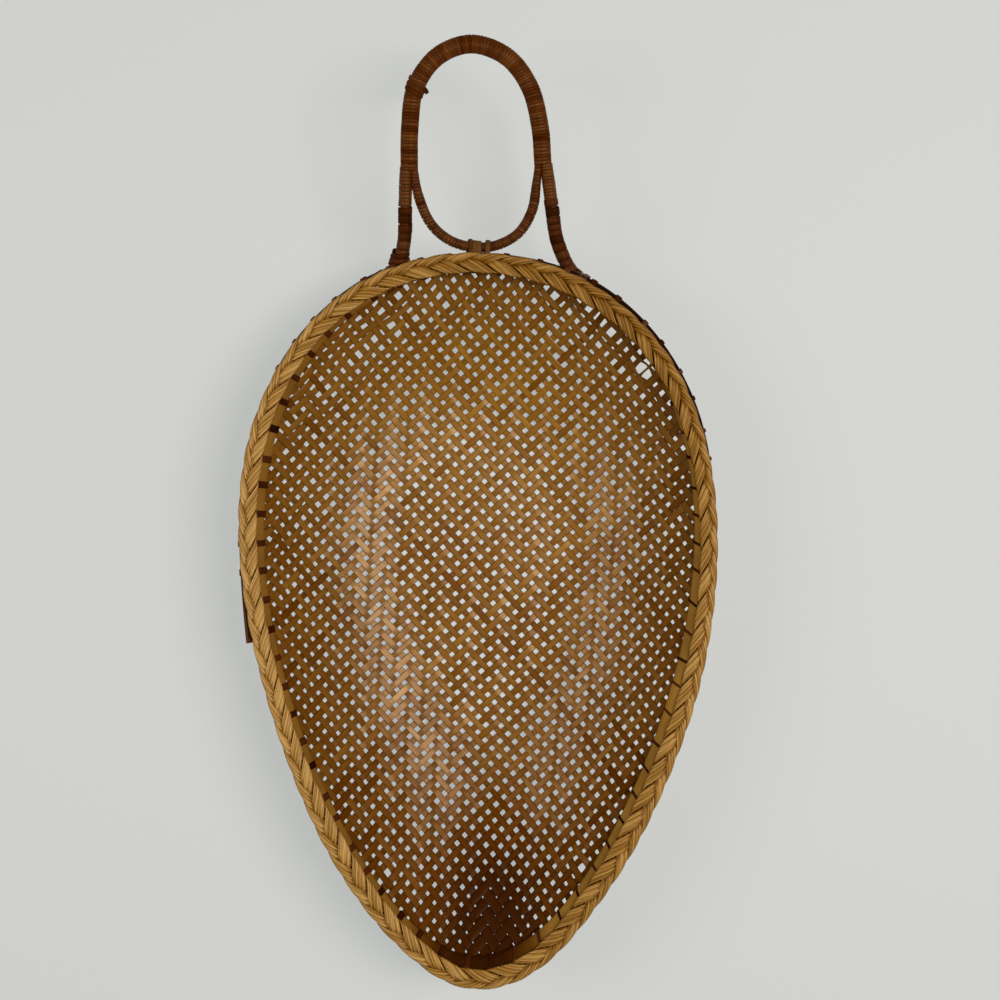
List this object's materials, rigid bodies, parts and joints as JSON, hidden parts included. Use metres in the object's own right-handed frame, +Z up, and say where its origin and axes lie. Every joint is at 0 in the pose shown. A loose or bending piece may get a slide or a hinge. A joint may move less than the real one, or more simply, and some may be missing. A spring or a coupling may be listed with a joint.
{
  "type": "fruit basket",
  "caption": "Shallow egg-shaped open-weave basket tray with a plaited rim over two hoops and a wrapped cane loop handle at its wide end, for holding and carrying fruit.",
  "frame": {"origin": "under the middle of the whole part, on the surface that it rests on", "axes": "+Z up, out of the open bowl; +Y along the length, towards the handle; +X to the right seen from above with the handle away"},
  "size_m": [0.2896, 0.5646, 0.0938],
  "materials": {
    "bamboo_splint": "split bamboo skin, satin, amber brown with age",
    "bamboo_hoop": "flat bamboo strip, satin yellow brown",
    "dark_bamboo_hoop": "dark stained bamboo strip, satin",
    "straw_plait": "golden plaited straw, soft sheen",
    "cane": "round rattan cane, brown",
    "rattan_wrap": "split rattan strip, satin warm brown",
    "dark_rattan_wrap": "split rattan strip, satin dark red brown"
  },
  "bodies": {
    "root": {"woven_body": "bamboo_splint", "inner_rim_hoop": "bamboo_hoop", "outer_rim_hoop": "dark_bamboo_hoop", "plait_strand_1": "straw_plait", "plait_strand_2": "straw_plait", "plait_strand_3": "straw_plait", "handle_outer_cane": "cane", "handle_inner_cane": "cane", "arch_wrap": "rattan_wrap", "left_arch_wrap": "rattan_wrap", "splice_band": "rattan_wrap", "left_leg_wrap": "dark_rattan_wrap", "right_leg_wrap": "dark_rattan_wrap", "lower_loop_wrap": "dark_rattan_wrap", "rim_tie": "rattan_wrap", "left_foot_binding": "dark_rattan_wrap", "right_foot_binding": "dark_rattan_wrap"}
  },
  "joints": []
}
